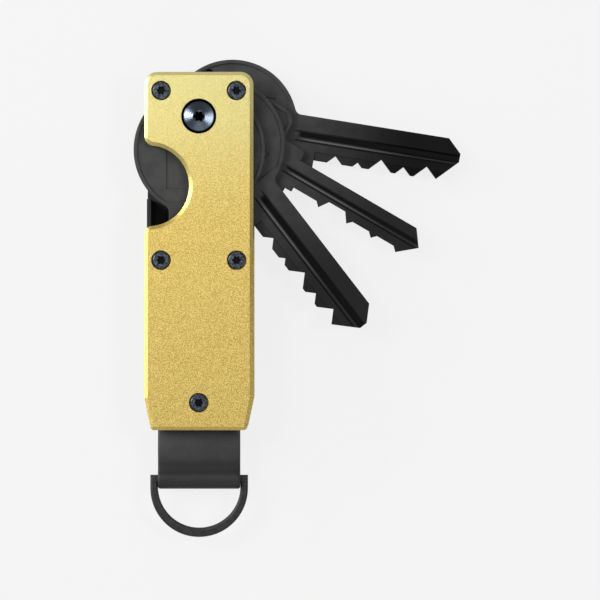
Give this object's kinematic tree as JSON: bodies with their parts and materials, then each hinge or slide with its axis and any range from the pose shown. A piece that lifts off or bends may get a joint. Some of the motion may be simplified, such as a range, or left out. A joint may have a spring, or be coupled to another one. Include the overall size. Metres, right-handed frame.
{
  "type": "key organiser",
  "caption": "Slim pocket key organiser: keys swing out on a pivot between two screwed gold metal covers with a thumb notch, with a strap and D-ring at the tail.",
  "frame": {"origin": "centre of the back cover's outer face, on the plane that the organiser lies on", "axes": "+Z is the front cover's outward normal, +Y points to the pivot end, +X to the side on which the keys swing out"},
  "size_m": [0.0692, 0.1013, 0.0147],
  "materials": {
    "gold_cover": "bead-blasted and anodised, pale gold",
    "black_liner": "black oxide steel sheet, satin",
    "black_spine": "black anodised, satin",
    "black_screw": "black oxide, semi-gloss",
    "pivot_black": "polished black, turned",
    "spring_steel": "spring steel",
    "washer_brass": "thin brass shim",
    "standoff_steel": "turned steel",
    "key_black": "satin black coated key blank",
    "strap_black": "smooth black strap leather, matt",
    "ring_black": "black cast ring, satin"
  },
  "bodies": {
    "case": {"front_cover": "gold_cover", "back_cover": "gold_cover", "front_liner": "black_liner", "back_liner": "black_liner", "front_short_screws": "black_screw", "front_long_screws": "black_screw", "back_short_screws": "black_screw", "back_long_screws": "black_screw", "pivot_screw": "pivot_black", "pivot_barrel": "pivot_black", "spring_washer": "spring_steel", "key_washers": "washer_brass", "spine": "black_spine", "spine_standoff": "standoff_steel", "tail_standoff": "standoff_steel", "back_tail_spacer": "black_spine", "front_tail_spacer": "black_spine", "strap": "strap_black"},
    "key_1": {"key_1": "key_black"},
    "key_2": {"key_2": "key_black"},
    "key_3": {"key_3": "key_black"},
    "key_4": {"key_4": "key_black"},
    "ring": {"d_ring": "ring_black"}
  },
  "joints": [
    {"name": "key_1_swing", "type": "hinge", "parent": "case", "child": "key_1", "pos_m": [0, 0.0282, 0.00732], "axis": [0, 0, 1], "range_deg": [-80.91, 222.09]},
    {"name": "key_2_swing", "type": "hinge", "parent": "case", "child": "key_2", "pos_m": [0, 0.0282, 0.00732], "axis": [0, 0, 1], "range_deg": [-59.8, 243.2]},
    {"name": "key_3_swing", "type": "hinge", "parent": "case", "child": "key_3", "pos_m": [0, 0.0282, 0.00732], "axis": [0, 0, 1], "range_deg": [-37.6, 265.4]},
    {"name": "key_4_swing", "type": "hinge", "parent": "case", "child": "key_4", "pos_m": [0, 0.0282, 0.00732], "axis": [0, 0, 1], "range_deg": [0, 303]},
    {"name": "ring_swing", "type": "hinge", "parent": "case", "child": "ring", "pos_m": [0, -0.0481, 0.00732], "axis": [1, 0, 0], "range_deg": [-135, 135]}
  ]
}
